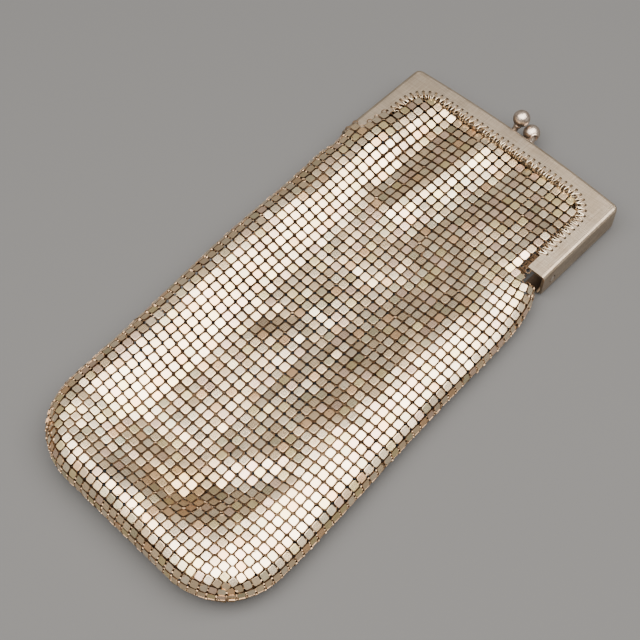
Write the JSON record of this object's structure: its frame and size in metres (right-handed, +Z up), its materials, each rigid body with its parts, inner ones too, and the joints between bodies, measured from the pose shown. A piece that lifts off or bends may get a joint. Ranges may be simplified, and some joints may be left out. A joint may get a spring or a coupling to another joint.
{
  "type": "metal mesh purse",
  "caption": "Long flat purse of fine linked metal mesh, lying closed on its back, with a hinged folded-sheet frame and a two-ball snap clasp.",
  "frame": {"origin": "bottom centre of the whole object's box, on the surface that it lies on", "axes": "+Z up from that surface to the front of the purse, +Y along the purse from its closed end to the frame's bar and clasp, +X across it"},
  "size_m": [0.0856, 0.176, 0.0129],
  "materials": {
    "frame": "satin, cross-brushed, nickel colour with a light warm tarnish",
    "clasp": "polished by use, lightly scratched",
    "mesh": "small satin plates in silver and champagne tints, brown tarnish between them"
  },
  "bodies": {
    "root": {"frame_front": "frame", "frame_back": "frame", "hinge_rivet_left": "frame", "hinge_rivet_right": "frame", "clasp_knob_front": "clasp", "clasp_knob_back": "clasp", "mesh_bag": "mesh"}
  },
  "joints": []
}
